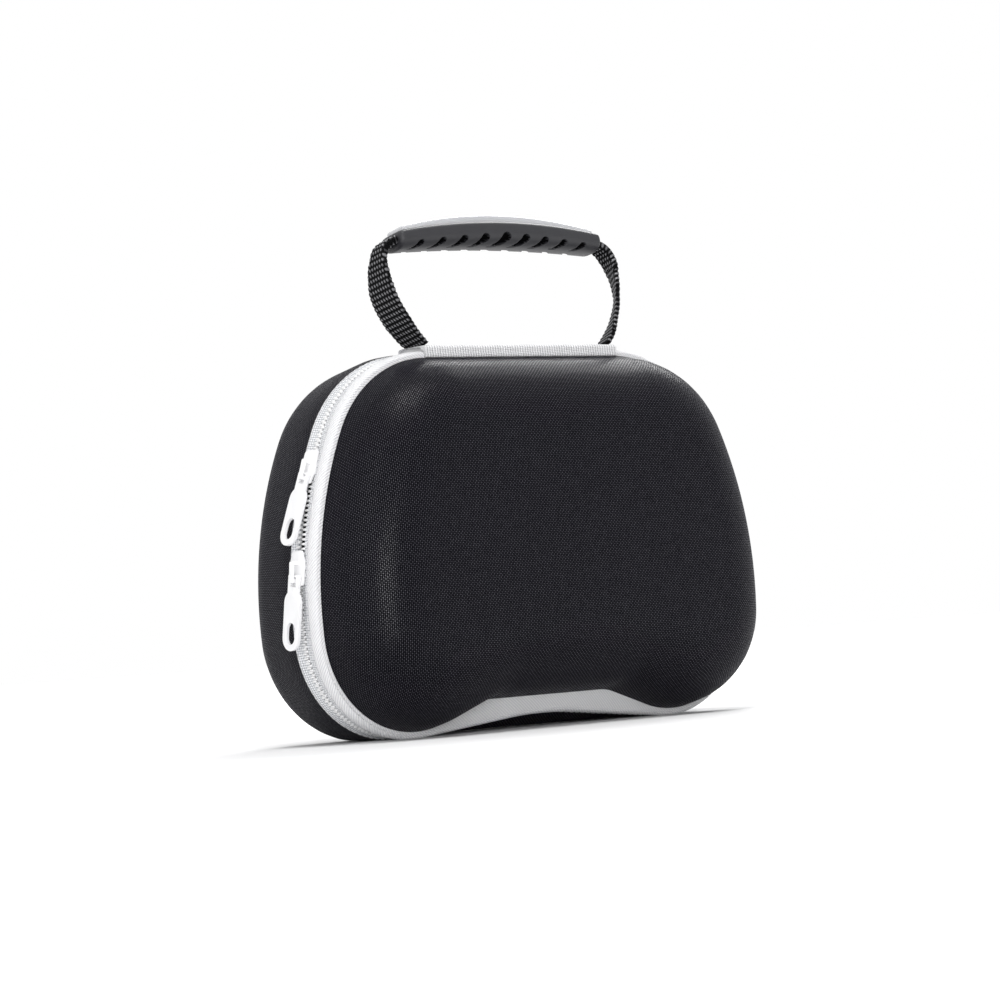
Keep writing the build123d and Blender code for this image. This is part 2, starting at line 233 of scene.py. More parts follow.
def at_depth(ring, y):
    """Ring of points at a distance behind the middle of the zip."""
    return np.stack([ring[:, 0], np.full(len(ring), zip_y + y), ring[:, 1]], axis=1)


def run_length(points):
    """Distance along a line of points, from its first point."""
    steps = np.linalg.norm(np.diff(points, axis=0), axis=1)
    return np.concatenate([[0], np.cumsum(steps)])


def deselect():
    """Leaves edit mode and selects nothing."""
    if bpy.context.object and bpy.context.object.mode != "OBJECT":
        bpy.ops.object.mode_set(mode="OBJECT")
    bpy.ops.object.select_all(action="DESELECT")


def activate(piece):
    """Makes one object the only selected and active one."""
    deselect()
    piece.select_set(True)
    bpy.context.view_layer.objects.active = piece


def skin(name, rows, uvs=None, joined=True, caps=False, smooth=35.0):
    """Stretches a grid over rows of points in millimetres, and closes its seam and its two ends."""
    rows = np.asarray(rows, float)
    down, along = rows.shape[:2]
    deselect()
    bpy.ops.mesh.primitive_grid_add(x_subdivisions=along - 1, y_subdivisions=down - 1, size=1)
    piece = bpy.context.object
    piece.name = piece.data.name = name
    mesh = piece.data
    place = np.empty(len(mesh.vertices) * 3)
    mesh.vertices.foreach_get("co", place)
    place = place.reshape(-1, 3)
    column = np.rint((place[:, 0] + 0.5) * (along - 1)).astype(int)
    row = np.rint((place[:, 1] + 0.5) * (down - 1)).astype(int)
    mesh.vertices.foreach_set("co", (rows[row, column] * MM).ravel())
    if uvs is None:
        across = np.zeros((down, along))
        across[1:] = np.cumsum(np.linalg.norm(np.diff(rows, axis=0), axis=2), axis=0)
        length = np.broadcast_to(run_length(rows[down // 2]), across.shape)
        uvs = np.stack([length, across], axis=2)
    corners = np.empty(len(mesh.loops), int)
    mesh.loops.foreach_get("vertex_index", corners)
    mesh.uv_layers.active.data.foreach_set("uv", (np.asarray(uvs)[row, column][corners] * MM).ravel())
    bpy.ops.object.mode_set(mode="EDIT")
    bpy.ops.mesh.select_all(action="SELECT")
    if joined:
        bpy.ops.mesh.remove_doubles(threshold=1e-6)
    if caps:
        bpy.ops.mesh.select_all(action="DESELECT")
        bpy.ops.mesh.select_mode(type="EDGE")
        bpy.ops.mesh.select_non_manifold()
        bpy.ops.mesh.fill_holes(sides=0)
        bpy.ops.mesh.select_mode(type="FACE")
        bpy.ops.mesh.select_all(action="SELECT")
    bpy.ops.mesh.normals_make_consistent(inside=False)
    bpy.ops.object.mode_set(mode="OBJECT")
    bpy.ops.object.shade_smooth_by_angle(angle=radians(smooth))
    return piece


def flat_uvs(piece):
    """Gives the flat front and back faces cloth that lies straight on them."""
    layer = piece.data.uv_layers.active.data
    for face in piece.data.polygons:
        if abs(face.normal.y) > 0.99 and len(face.vertices) > 4:
            for loop in face.loop_indices:
                spot = piece.data.vertices[piece.data.loops[loop].vertex_index].co
                layer[loop].uv = (spot.x, spot.z)


def dome_profile(inset, land, dome):
    """Profile of a moulded half as (inset, distance from the rim): land, drafted wall, round edge."""
    depth, draft, edge = dome
    lean = radians(draft)
    centre_depth = depth - edge
    start_depth = centre_depth + edge * sin(lean)
    start_inset = start_depth * tan(lean)
    centre_inset = start_inset + edge * cos(lean)
    rows = [(inset, 0.0), (inset, land), (inset + start_inset / 2, land + start_depth / 2)]
    for turn in np.linspace(lean, pi / 2, 14):
        rows.append((inset + centre_inset - edge * cos(turn), land + centre_depth + edge * sin(turn)))
    return rows


def moulded_shell(name, side, inset, notch, land, dome, step, loss=0.0):
    """One half of the case: the outside, the rim's edge and the inside, as one closed skin.

    The notch at the bottom loses part of its rise behind the rim.
    """
    rise, *rest = notch
    depth, draft, edge = dome
    outside = dome_profile(inset, land, dome)
    inside = dome_profile(inset + wall, land, (depth - wall, draft, edge - wall))
    profile = outside[::-1] + inside
    rises = [rise - loss * min(far / notch_fade, 1) for _, far in profile]
    rings = [outline(shift, (here, *rest), step) for (shift, _), here in zip(profile, rises)]
    rows = [at_depth(ring, side * (zip_half + far)) for ring, (_, far) in zip(rings, profile)]
    out = outline(0, notch, step) - rings[0]
    out /= np.linalg.norm(out, axis=1, keepdims=True)
    cloth = [rings[0] + out * gone for gone in run_length(np.array(profile))]
    piece = skin(name, rows, uvs=cloth, caps=True)
    flat_uvs(piece)
    return piece


def level_wall(piece):
    """Lowers the rear half's bottom, so that its lower wall is level and stands on the floor."""
    for spot in piece.data.vertices:
        behind = min(max(spot.co.y / MM - zip_y - zip_half - rear_land, 0.0), rear_wall)
        low = min(max(1 - spot.co.z / MM / level_reach, 0.0), 1.0)
        spot.co.z = max(spot.co.z - behind * tan(radians(rear_dome[1])) * low * MM, 0.0)


# Shader nodes


class Signal:
    """A shader socket that plain arithmetic can be written on."""

    def __init__(self, tree, socket):
        self.tree = tree
        self.socket = socket

    def math(self, operation, *others):
        node = self.tree.nodes.new("ShaderNodeMath")
        node.operation = operation
        for place, value in enumerate((self, *others)):
            self.tree.feed(node.inputs[place], value)
        return Signal(self.tree, node.outputs[0])

    def __add__(self, other):
        return self.math("ADD", other)

    __radd__ = __add__

    def __mul__(self, other):
        return self.math("MULTIPLY", other)

    __rmul__ = __mul__

    def __sub__(self, other):
        return self.math("SUBTRACT", other)

    def __rsub__(self, other):
        return (self * -1) + other

    def __truediv__(self, other):
        return self.math("DIVIDE", other)

    def sine(self):
        return self.math("SINE")

    def part(self):
        return self.math("FRACT")

    def whole(self):
        return self.math("FLOOR")

    def size(self):
        return self.math("ABSOLUTE")

    def most(self, other):
        return self.math("MAXIMUM", other)

    def least(self, other):
        return self.math("MINIMUM", other)

    def over(self, other):
        return self.math("GREATER_THAN", other)

    def power(self, other):
        return self.math("POWER", other)


class Finish:
    """A material or world under construction, with one method that adds any node."""

    def __init__(self, name, family="materials", shader="BsdfPrincipled", end="OutputMaterial"):
        self.look = getattr(bpy.data, family).new(name)
        self.look.use_nodes = True
        self.nodes = self.look.node_tree.nodes
        self.links = self.look.node_tree.links
        self.nodes.clear()
        self.shader = self.nodes.new("ShaderNode" + shader)
        self.end = self.nodes.new("ShaderNode" + end)
        self.show(Signal(self, self.shader.outputs[0]))

    def show(self, shader):
        """Makes a shader the one that is seen."""
        self.links.new(shader.socket, self.end.inputs[0])

    def feed(self, socket, value):
        if isinstance(value, Signal):
            self.links.new(value.socket, socket)
        elif isinstance(value, (tuple, list)) and len(value) == 3 and socket.type == "RGBA":
            socket.default_value = (*value, 1)
        else:
            socket.default_value = value

    def add(self, kind, settings=None, out=0, **values):
        node = self.nodes.new("ShaderNode" + kind)
        for key, value in (settings or {}).items():
            setattr(node, key, value)
        for key, value in values.items():
            self.feed(node.inputs[key.replace("_", " ")], value)
        return Signal(self, node.outputs[out])

    def join(self, kind, *values):
        """Adds a node whose sockets are fed in their order."""
        node = self.nodes.new("ShaderNode" + kind)
        for socket, value in zip(node.inputs, values):
            self.feed(socket, value)
        return Signal(self, node.outputs[0])

    def place(self):
        """Coordinates of the piece in its own axes, in metres."""
        return self.add("TexCoord", out="Object")

    def cloth_axes(self):
        """The two directions of the piece's own cloth, in metres."""
        flat = self.add("TexCoord", out="UV")
        split = self.add("SeparateXYZ", Vector=flat)
        node = split.socket.node
        return Signal(self, node.outputs[0]), Signal(self, node.outputs[1])

    def noise(self, size, detail):
        """Soft random variation from 0 to 1 with blotches of a given size in metres."""
        return self.add("TexNoise", Vector=self.place(), Scale=1 / size, Detail=detail)

    def mix(self, amount, first, second):
        """Colour between two colours."""
        node = self.nodes.new("ShaderNodeMix")
        node.data_type = "RGBA"
        self.feed(node.inputs["Factor"], amount)
        self.feed(node.inputs[6], first)
        self.feed(node.inputs[7], second)
        return Signal(self, node.outputs[2])

    def bump(self, height, distance):
        """Raises the surface by a height from 0 to 1 times a distance in metres."""
        self.shader_set(Normal=self.add("Bump", Height=height, Distance=distance, Strength=1.0))

    def shader_set(self, **values):
        for key, value in values.items():
            self.feed(self.shader.inputs[key.replace("_", " ")], value)


def plain_weave(finish, pitch_u, pitch_v):
    """Height of a plain weave from 0 to 1: threads go over and under each other by turns."""
    u, v = finish.cloth_axes()
    across, along = u / pitch_u, v / pitch_v
    warp = (across.part() * pi).sine()
    weft = (along.part() * pi).sine()
    turn = ((across.whole() + along.whole()) * 0.5).part().over(0.25)
    over = warp * (weft * 0.5 + 0.5)
    under = weft * (warp * 0.5 + 0.5)
    return turn * over + (1 - turn) * under * 0.72


def shell_cloth():
    """Black cloth glued on the moulded foam: a fine plain weave whose thread crowns carry a painted highlight
    in their colour and real gloss from the coat.
    """
    finish = Finish("shell_cloth")
    pitch = bpy.context.scene.case_looks.weave_pitch
    weave = plain_weave(finish, pitch, pitch * 0.9)
    blotch = finish.noise(0.02, 2.0)
    yarn = finish.noise(0.0011, 1.0)
    crown = (weave * 1.4 - 0.4).most(0.0).power(2.0) * (yarn * 1.0 + 0.4)
    dark = finish.mix(blotch, (0.0006, 0.0005, 0.0020), (0.0014, 0.0012, 0.0030))
    finish.shader_set(
        # Painted highlight: the crowns of the threads get a paler colour that stands in for their glints; the
        # coat on the same crowns is real gloss.
        Base_Color=finish.mix(crown.least(1.0), dark, (0.052, 0.050, 0.064)),
        Roughness=0.55 + (1 - weave) * 0.3,
        Specular_IOR_Level=0.02,
        Coat_Weight=crown.least(1.0),
        Coat_Roughness=0.33,
        Coat_IOR=1.52,
        Sheen_Weight=0.06,
        Sheen_Roughness=0.25,
        Sheen_Tint=(0.8, 0.8, 0.92, 1.0),
    )
    finish.bump(weave, 0.00022)
    return finish.look


def lining_cloth():
    """Brushed black lining inside the halves."""
    finish = Finish("lining_cloth")
    nap = finish.noise(0.0009, 4.0)
    finish.shader_set(
        Base_Color=finish.mix(nap, (0.008, 0.008, 0.009), (0.022, 0.022, 0.025)),
        Roughness=0.85 + nap * 0.1,
        Sheen_Weight=0.25,
        Sheen_Roughness=0.6,
    )
    finish.bump(nap, 0.00025)
    return finish.look


def woven_band(name, pitch, lean, pale, low, height=0.00028, plain=False):
    """White woven band with a little fluff: a ribbed twill at a slant, or a plain weave."""
    finish = Finish(name)
    u, v = finish.cloth_axes()
    rib = (((u + v * lean) / pitch).part() * pi).sine()
    thread = (((u * lean - v) / (pitch * 0.55)).part() * pi).sine()
    weave = plain_weave(finish, pitch, pitch) * 1.2 if plain else rib * 0.7 + thread * 0.3
    fluff = finish.noise(0.0005, 3.0)
    grime = finish.noise(0.03, 2.0)
    finish.shader_set(
        Base_Color=finish.mix((weave * 1.3 + fluff * 0.2 - 0.1).least(1.0), low, pale),
        Roughness=0.80 + grime * 0.15,
        Sheen_Weight=0.15,
    )
    finish.bump(weave * 0.8 + fluff * 0.4, height)
    return finish.look


def moulded_plastic(name, first, second, rough, grain, coat=0.0, shine=0.5):
    """Plastic or paint with slow changes of tone and a fine grain in its gloss."""
    finish = Finish(name)
    drift = finish.noise(0.006, 2.0)
    fine = finish.noise(0.0005, 2.0)
    finish.shader_set(
        Base_Color=finish.mix(drift, first, second),
        Roughness=rough + fine * 0.12,
        Specular_IOR_Level=shine,
        Coat_Weight=coat,
        Coat_Roughness=0.1,
    )
    finish.bump(fine * 0.5 + drift, grain)
    return finish.look


def webbing_yarn():
    """Coarse black webbing: the crowns of its yarns carry a painted highlight in their colour and a slight
    real shine from the coat.
    """
    finish = Finish("webbing_yarn")
    u, v = finish.cloth_axes()
    row = u / (webbing_row * MM)
    across = (v + u * webbing_slant) / (webbing_bump * MM) + row.whole() * 0.5
    crown = (row.part() * pi).sine() * (across.part() * pi).sine()
    fibre = finish.add("TexWave", Vector=finish.place(), Scale=900.0, Distortion=3.0, Detail=1.0)
    light = (crown * 1.6 - 0.55).most(0.0).power(1.5).least(1.0)
    finish.shader_set(
        # Painted highlight: the yarn crowns get a pale colour that stands in for glints, and the same mask
        # gives them real coat gloss.
        Base_Color=finish.mix(light, (0.0020, 0.0020, 0.0024), (0.16, 0.16, 0.17)),
        Roughness=0.40 + fibre * 0.25,
        Specular_IOR_Level=0.04,
        Coat_Weight=light,
        Coat_Roughness=0.28,
    )
    finish.bump(crown * 0.8 + fibre * 0.2, 0.0003)
    return finish.look


def cap_plastic():
    """Smooth pale glossy strip, with faint drawn streaks along it."""
    finish = Finish("cap_gloss_plastic")
    where = finish.add("Mapping", Vector=finish.place(), Scale=(12.0, 260.0, 260.0))
    streak = finish.add("TexNoise", Vector=where, Scale=1.0, Detail=2.0)
    finish.shader_set(
        Base_Color=finish.mix(streak, (0.42, 0.43, 0.45), (0.66, 0.66, 0.68)),
        Roughness=0.12 + streak * 0.12,
        Coat_Weight=0.5,
        Coat_Roughness=0.05,
    )
    finish.bump(streak, 0.00004)
    return finish.look


def pocket_net():
    """Black net with open cells."""
    finish = Finish("pocket_net")
    u, v = finish.cloth_axes()
    first = (((u + v) / (net_cell * MM)).part() - 0.5).size()
    second = (((u - v) / (net_cell * MM)).part() - 0.5).size()
    cord = (0.5 - first).least(0.5 - second)
    yarn = finish.noise(0.0004, 2.0)
    finish.shader_set(
        Base_Color=finish.mix(yarn, (0.010, 0.010, 0.011), (0.030, 0.030, 0.033)),
        Roughness=0.6 + yarn * 0.2,
        Alpha=(0.17 - cord).over(0.0),
    )
    finish.bump((0.2 - cord).most(0.0) * 4, 0.0002)
    return finish.look


def elastic_rib():
    """Ribbed black elastic."""
    finish = Finish("ribbed_elastic")
    u, v = finish.cloth_axes()
    rib = ((v / 0.0011).part() * pi).sine()
    cross = ((u / 0.0008).part() * pi).sine()
    finish.shader_set(
        Base_Color=finish.mix(rib, (0.006, 0.006, 0.007), (0.030, 0.030, 0.032)),
        Roughness=0.7 + cross * 0.1,
    )
    finish.bump(rib * 0.8 + cross * 0.2, 0.0002)
    return finish.look


def dress(piece, *materials):
    """Puts materials in a piece's slots."""
    piece.data.materials.clear()
    for material in materials:
        piece.data.materials.append(material)


def belong(piece, body, slot, *nodes):
    """Hangs a piece on the body that carries it and hides the imported nodes it stands for; slot is not used.
    """
    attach(piece, body)
    if nodes:
        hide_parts(*nodes)
    return piece


# Pieces


class CaseLooks(bpy.types.PropertyGroup):
    """Steps and patterns that a user may change."""

    rim_step: bpy.props.FloatProperty(
        name="Rim step",
        description="Distance between points along the cloth of the shells, in mm",
        default=1.0,
    )
    weave_pitch: bpy.props.FloatProperty(
        name="Weave",
        description="Distance between the threads of the shells' cloth",
        default=0.00066,
        unit="LENGTH",
    )
    binding_pitch: bpy.props.FloatProperty(
        name="Binding rib",
        description="Distance between the binding's slanted ribs",
        default=0.0012,
        unit="LENGTH",
    )
    tooth_pitch: bpy.props.FloatProperty(
        name="Tooth step",
        description="Distance between the teeth of one row, in mm",
        default=1.57,
    )
    stitch_pitch: bpy.props.FloatProperty(
        name="Stitch step",
        description="Distance between the stitches of the zip's seams, in mm",
        default=2.4,
    )
    binding_colour: bpy.props.FloatVectorProperty(
        name="Binding",
        description="Colour of the binding and hinge band",
        default=(0.87, 0.87, 0.88),
        subtype="COLOR",
    )
    paint_colour: bpy.props.FloatVectorProperty(
        name="Paint",
        description="Colour of the sliders and pulls",
        default=(0.90, 0.90, 0.905),
        subtype="COLOR",
    )


class CASE_OT_shells(bpy.types.Operator):
    """Front and rear half, cloth outside and lining inside"""

    bl_idname = "case.shells"
    bl_label = "Shells"

    def execute(self, context):
        cloth = shell_cloth()
        lining = lining_cloth()
        step = context.scene.case_looks.rim_step
        halves = (
            ("front", -1, (front_step, shell_notch, binding_depth, front_dome, step)),
            ("rear", 1, (0.0, rim_notch, rear_land, rear_dome, step, notch_loss)),
        )
        for half, side, form in halves:
            body, node = half + "_half", half + "_shell"
            piece = moulded_shell("cloth_shell_" + half, side, *form)
            dress(piece, cloth, lining)
            for face in piece.data.polygons:
                outward = Vector((face.center.x, 0, face.center.z - 0.06))
                facing = face.normal.x * outward.x + face.normal.z * outward.z
                inner = facing < -1e-6 if abs(face.normal.y) < 0.985 else face.normal.y * side < 0
                face.material_index = int(inner)
            for spot in piece.data.vertices:
                spot.co.z = max(spot.co.z, 0.0)
            if half == "rear":
                level_wall(piece)
            belong(piece, body, "shell_cloth", node)
        return {"FINISHED"}


class CASE_OT_binding(bpy.types.Operator):
    """Woven binding round the front half, with a ribbed edge"""

    bl_idname = "case.binding"
    bl_label = "Binding"

    def execute(self, context):
        step = 0.32
        rim_part = (
            (0.0, 0.60, -4.45),
            (0.0, 0.12, -4.85),
            (0.0, -0.10, -5.60),
            (0.0, -0.16, -6.50),
            (0.0, -0.10, -7.40),
            (0.0, 0.02, -8.00),
            (0.0, 0.30, -8.70),
            (0.0, 0.72, -9.12),
            (0.0, 1.12, -9.16),
            (0.0, 1.36, -8.98),
            (0.06, 1.50, -9.12),
            (0.30, 1.60, -9.30),
            (0.60, 1.70, -9.34),
            (0.88, 1.90, -9.30),
            (1.0, 2.32, -9.18),
        )
        rows = []
        rib_rows = {6: 0.22, 7: 0.30, 8: 0.20}
        for number, (share, inset, y) in enumerate(rim_part):
            outer = outline(inset, rim_notch, step)
            inner = outline(max(inset, front_step), shell_notch, step)
            ring = outer * (1 - share) + inner * share
            row = at_depth(ring, y)
            low = np.clip((36 - ring[:, 1]) / 16, 0, 1)
            if number in rib_rows:
                run = run_length(row)
                wave = np.abs(np.sin(pi * (run / 1.9 + number * 0.16)))
                row[:, 1] -= rib_rows[number] * wave * low
            if number in (8, 9, 10):
                row[:, 1] += (zip_y - 9.24 - row[:, 1]) * (1 - low)
            rows.append(row)
        rows.append(at_depth(outline(front_step, shell_notch, step), -4.45))
        rows.append(rows[0])
        rows = np.array(rows)
        rows[:, :, 2] = np.maximum(rows[:, :, 2], 0.0)
        piece = skin("woven_binding", rows, smooth=50)
        looks = context.scene.case_looks
        pale = tuple(looks.binding_colour)
        dress(piece, woven_band("binding_twill", looks.binding_pitch, 1.0, pale, (0.60, 0.60, 0.64)))
        belong(piece, "front_half", "binding_weave", "front_binding")
        return {"FINISHED"}


def zip_opening(z, x):
    """How far each row of teeth stands from the closed line, between the two sliders on the left side."""
    low = lower_slider_z - slider_half * 0.2
    high = upper_slider_z + slider_half * 0.2
    rise = np.clip((z - low) / slider_half, 0, 1)
    fall = np.clip((high - z) / slider_half, 0, 1)
    return np.where(x < 0, np.minimum(eased(rise), eased(fall)) * zip_spread, 0.0)


class CASE_OT_tapes(bpy.types.Operator):
    """The two zip tapes"""

    bl_idname = "case.tapes"
    bl_label = "Zip tapes"

    def execute(self, context):
        pale, low = (0.86, 0.87, 0.89), (0.24, 0.25, 0.28)
        weave = woven_band("zip_tape_weave", 0.0008, 0.9, pale, low, 0.0002, plain=True)
        for name, body, node, side in (
            ("zip_tape_front", "front_half", "front_zip_tape", -1),
            ("zip_tape_rear", "rear_half", "rear_zip_tape", 1),
        ):
            profile = (
                (0.30, 4.42),
                (0.42, 3.60),
                (0.62, 2.95),
                (0.86, 2.55),
                (0.94, 1.90),
                (0.96, 1.20),
                (1.20, 1.02),
                (1.90, 0.90),
                (2.30, 0.62),
                (2.60, 0.90),
                (2.60, 4.42),
                (0.30, 4.42),
            )
            rows = []
            for inset, y in profile:
                ring = outline(inset, rim_notch, 1.0, over_top=False)
                row = at_depth(ring, side * y)
                near = 1 - min(max((y - 0.6) / 3.8, 0), 1)
                row[:, 1] += side * near * zip_opening(ring[:, 1], ring[:, 0])
                rows.append(row)
            piece = skin(name, rows, caps=True, smooth=50)
            dress(piece, weave)
            belong(piece, body, "zip_tape", node)
        return {"FINISHED"}


def small_form(name, size, bevel):
    """A small block with rounded edges, in millimetres, for copying along the rim."""
    deselect()
    bpy.ops.mesh.primitive_cube_add(size=1)
    block = bpy.context.object
    block.name = name
    block.scale = size
    bpy.ops.object.transform_apply(location=False, rotation=False, scale=True)
    bpy.ops.object.mode_set(mode="EDIT")
    bpy.ops.mesh.select_all(action="SELECT")
    bpy.ops.mesh.bevel(offset=bevel, segments=2, profile=0.6, affect="EDGES")
    bpy.ops.object.mode_set(mode="OBJECT")
    return block


def repeated(name, pattern, places):
    """Copies a small form to each place, given as matrices in millimetres, and joins the copies."""
    deselect()
    smaller = Matrix.Scale(MM, 4)
    for place in places:
        copy = pattern.copy()
        copy.data = pattern.data.copy()
        copy.matrix_world = smaller @ place
        bpy.context.scene.collection.objects.link(copy)
        copy.select_set(True)
    bpy.data.objects.remove(pattern)
    bpy.context.view_layer.objects.active = copy
    bpy.ops.object.join()
    piece = bpy.context.object
    piece.name = piece.data.name = name
    bpy.ops.object.transform_apply(location=True, rotation=True, scale=True)
    bpy.ops.object.shade_smooth_by_angle(angle=radians(60))
    return piece


def along_rim(inset, pitch, phase, middle, side=0, turn=0.0):
    """Places along the rim: X runs along it, Y across the zip and Z outwards.

    They stand at a distance behind the zip's middle, and those of a side move out where the zip is open.
    """
    ring = outline(inset, rim_notch, 0.5, over_top=False)
    run = run_length(ring)
    count = int(run[-1] / pitch) - 2
    places = []
    for number in range(count):
        here = pitch * (number + 1 + phase)
        x, z = np.interp(here, run, ring[:, 0]), np.interp(here, run, ring[:, 1])
        x2, z2 = np.interp(here + 0.3, run, ring[:, 0]), np.interp(here + 0.3, run, ring[:, 1])
        along = Vector((x2 - x, 0, z2 - z)).normalized()
        across = Vector((0, 1, 0))
        out = along.cross(across)
        shift = middle + side * float(zip_opening(z, x))
        grid = Matrix((along, across, out)).transposed().to_4x4()
        places.append(Matrix.Translation((x, zip_y + shift, z)) @ grid @ Matrix.Rotation(turn, 4, "Z"))
    return places


class CASE_OT_teeth(bpy.types.Operator):
    """The two rows of teeth, closed except between the sliders"""

    bl_idname = "case.teeth"
    bl_label = "Teeth"

    def execute(self, context):
        plastic = moulded_plastic("tooth_plastic", (0.80, 0.80, 0.81), (0.88, 0.88, 0.88), 0.32, 0.00003)
        pitch = context.scene.case_looks.tooth_pitch
        half_reach = (tooth_root + tooth_reach) / 2
        for name, body, node, side, phase in (
            ("teeth_front", "front_half", "front_zip_coil", -1, 0.0),
            ("teeth_rear", "rear_half", "rear_zip_coil", 1, 0.5),
        ):
            tooth = small_form("tooth", (tooth_width, 2 * half_reach, tooth_height), tooth_edge)
            middle = side * (tooth_root - half_reach)
            piece = repeated(name, tooth, along_rim(tooth_inset, pitch, phase, middle, side))
            dress(piece, plastic)
            belong(piece, body, "coil_plastic", node)
        return {"FINISHED"}


class CASE_OT_stitches(bpy.types.Operator):
    """Seams that hold the tapes to the two halves"""

    bl_idname = "case.stitches"
    bl_label = "Stitches"

    def execute(self, context):
        thread = woven_band("sewing_thread", 0.0004, 0.8, (0.84, 0.84, 0.85), (0.55, 0.55, 0.58), 0.00008)
        pitch = context.scene.case_looks.stitch_pitch
        for name, body, y in (("seam_front", "front_half", -seam_y), ("seam_rear", "rear_half", seam_y)):
            stitch = small_form("stitch", stitch_size, stitch_edge)
            piece = repeated(name, stitch, along_rim(seam_inset, pitch, 0.0, y, turn=radians(stitch_lean)))
            dress(piece, thread)
            belong(piece, body, "binding_weave")
        return {"FINISHED"}


class CASE_OT_hinge(bpy.types.Operator):
    """Woven band over the top that joins the halves"""

    bl_idname = "case.hinge"
    bl_label = "Hinge band"

    def execute(self, context):
        low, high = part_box("hinge_band")
        top = high.z / MM
        front = low.y / MM
        rear = high.y / MM
        corner = [radians(turn) for turn in np.linspace(0, 90, 6)]
        corner = [(band_round * (1 - cos(turn)), top - band_round * (1 - sin(turn))) for turn in corner]
        section = [
            (front + 0.55, case_height - front_step + 0.05),
            (front + 0.12, case_height - front_step + 0.25),
            (front - 0.10, case_height - 1.2),
            (front + 0.08, case_height - 0.6),
            (front - 0.02, case_height + 0.2),
        ]
        section += [(front + inward, z) for inward, z in corner]
        for share in np.linspace(0.08, 0.92, 12):
            section.append((front + (rear - front) * share, top + band_crown * sin(pi * share)))
        section += [(rear - inward, z) for inward, z in reversed(corner)]
        section += [
            (rear, case_height + 0.15),
            (rear - 0.4, case_height + 0.06),
            (rear - 1.2, case_height + 0.06),
            (front + 1.6, case_height + 0.06),
            (front + 1.15, case_height + 0.02),
            (front + 1.15, case_height - front_step + 0.3),
        ]
        section.append(section[0])
        half = high.x / MM
        ends = np.array([0.0, 0.25, 0.7])
        middle = np.linspace(-half + 1.4, half - 1.4, 110)
        columns = np.concatenate([ends - half, middle, half - ends[::-1]])
        rows = []
        for y, z in section:
            row = np.stack([columns, np.full(len(columns), y), np.full(len(columns), z)], axis=1)
            edge = np.clip((half - np.abs(columns)) / 0.7, 0, 1)
            squeeze = 1 - 0.10 * (1 - edge) ** 2
            row[:, 2] = z - (z - case_height) * (1 - squeeze) * (z > case_height)
            row[:, 2] += 0.05 * np.sin(columns * 0.45) * (z > case_height + 1)
            rows.append(row)
        piece = skin("hinge_cloth", rows, caps=True, smooth=50)
        pale = tuple(context.scene.case_looks.binding_colour)
        dress(piece, woven_band("hinge_rib", 0.00107, 0.06, pale, (0.30, 0.30, 0.33), 0.0003))
        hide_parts("hinge_band")
        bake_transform(piece)
        return {"FINISHED"}


def finished_copy(node, name, bevel):
    """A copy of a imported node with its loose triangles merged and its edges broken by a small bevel."""
    deselect()
    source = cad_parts[node]
    piece = bpy.data.objects.new(name, source.data.copy())
    bpy.context.scene.collection.objects.link(piece)
    activate(piece)
    bpy.ops.object.mode_set(mode="EDIT")
    bpy.ops.mesh.select_all(action="SELECT")
    bpy.ops.mesh.remove_doubles(threshold=2e-6)
    bpy.ops.mesh.dissolve_limited(angle_limit=radians(0.6))
    bpy.ops.object.mode_set(mode="OBJECT")
    edge = piece.modifiers.new("edge", "BEVEL")
    edge.width = bevel * MM
    edge.segments = 3
    edge.limit_method = "ANGLE"
    edge.angle_limit = radians(28)
    bpy.ops.object.modifier_apply(modifier="edge")
    bpy.ops.object.shade_smooth_by_angle(angle=radians(32))
    return piece


class CASE_OT_sliders(bpy.types.Operator):
    """The two zip sliders and their pulls"""

    bl_idname = "case.sliders"
    bl_label = "Sliders and pulls"

    def execute(self, context):
        pale = tuple(context.scene.case_looks.paint_colour)
        paint = moulded_plastic("white_gloss_paint", (0.84, 0.84, 0.855), pale, 0.16, 0.00006, coat=0.5)
        for kind, bevel in (("slider", 0.22), ("pull", 0.28)):
            for level, end, short in (("upper", "top", "up"), ("lower", "bottom", "low")):
                node = level + "_" + kind
                piece = finished_copy(node, kind + "_" + end, bevel)
                dress(piece, paint)
                belong(piece, kind + "_" + short, kind + "_paint", node)
        return {"FINISHED"}


def through(points, count):
    """Smooth line through points, with its new points at even distances."""
    points = np.asarray(points, float)
    run = run_length(points)
    slope = np.gradient(points, run, axis=0)
    line = []
    for index in range(len(points) - 1):
        length = run[index + 1] - run[index]
        for share in np.linspace(0, 1, 30, endpoint=index == len(points) - 2):
            s2, s3 = share**2, share**3
            spot = (2 * s3 - 3 * s2 + 1) * points[index] + (3 * s2 - 2 * s3) * points[index + 1]
            spot = spot + length * ((s3 - 2 * s2 + share) * slope[index] + (s3 - s2) * slope[index + 1])
            line.append(spot)
    return spaced(np.array(line), count)


def leaned(x, y, up):
    """Points of the handle, given upright from its feet, after it leans back."""
    lean = radians(handle_lean)
    back = y * cos(lean) + up * sin(lean)
    rise = foot_z + up * cos(lean) - y * sin(lean)
    return np.stack([x, zip_y + handle_plane + back, np.maximum(rise, foot_z)], axis=-1)


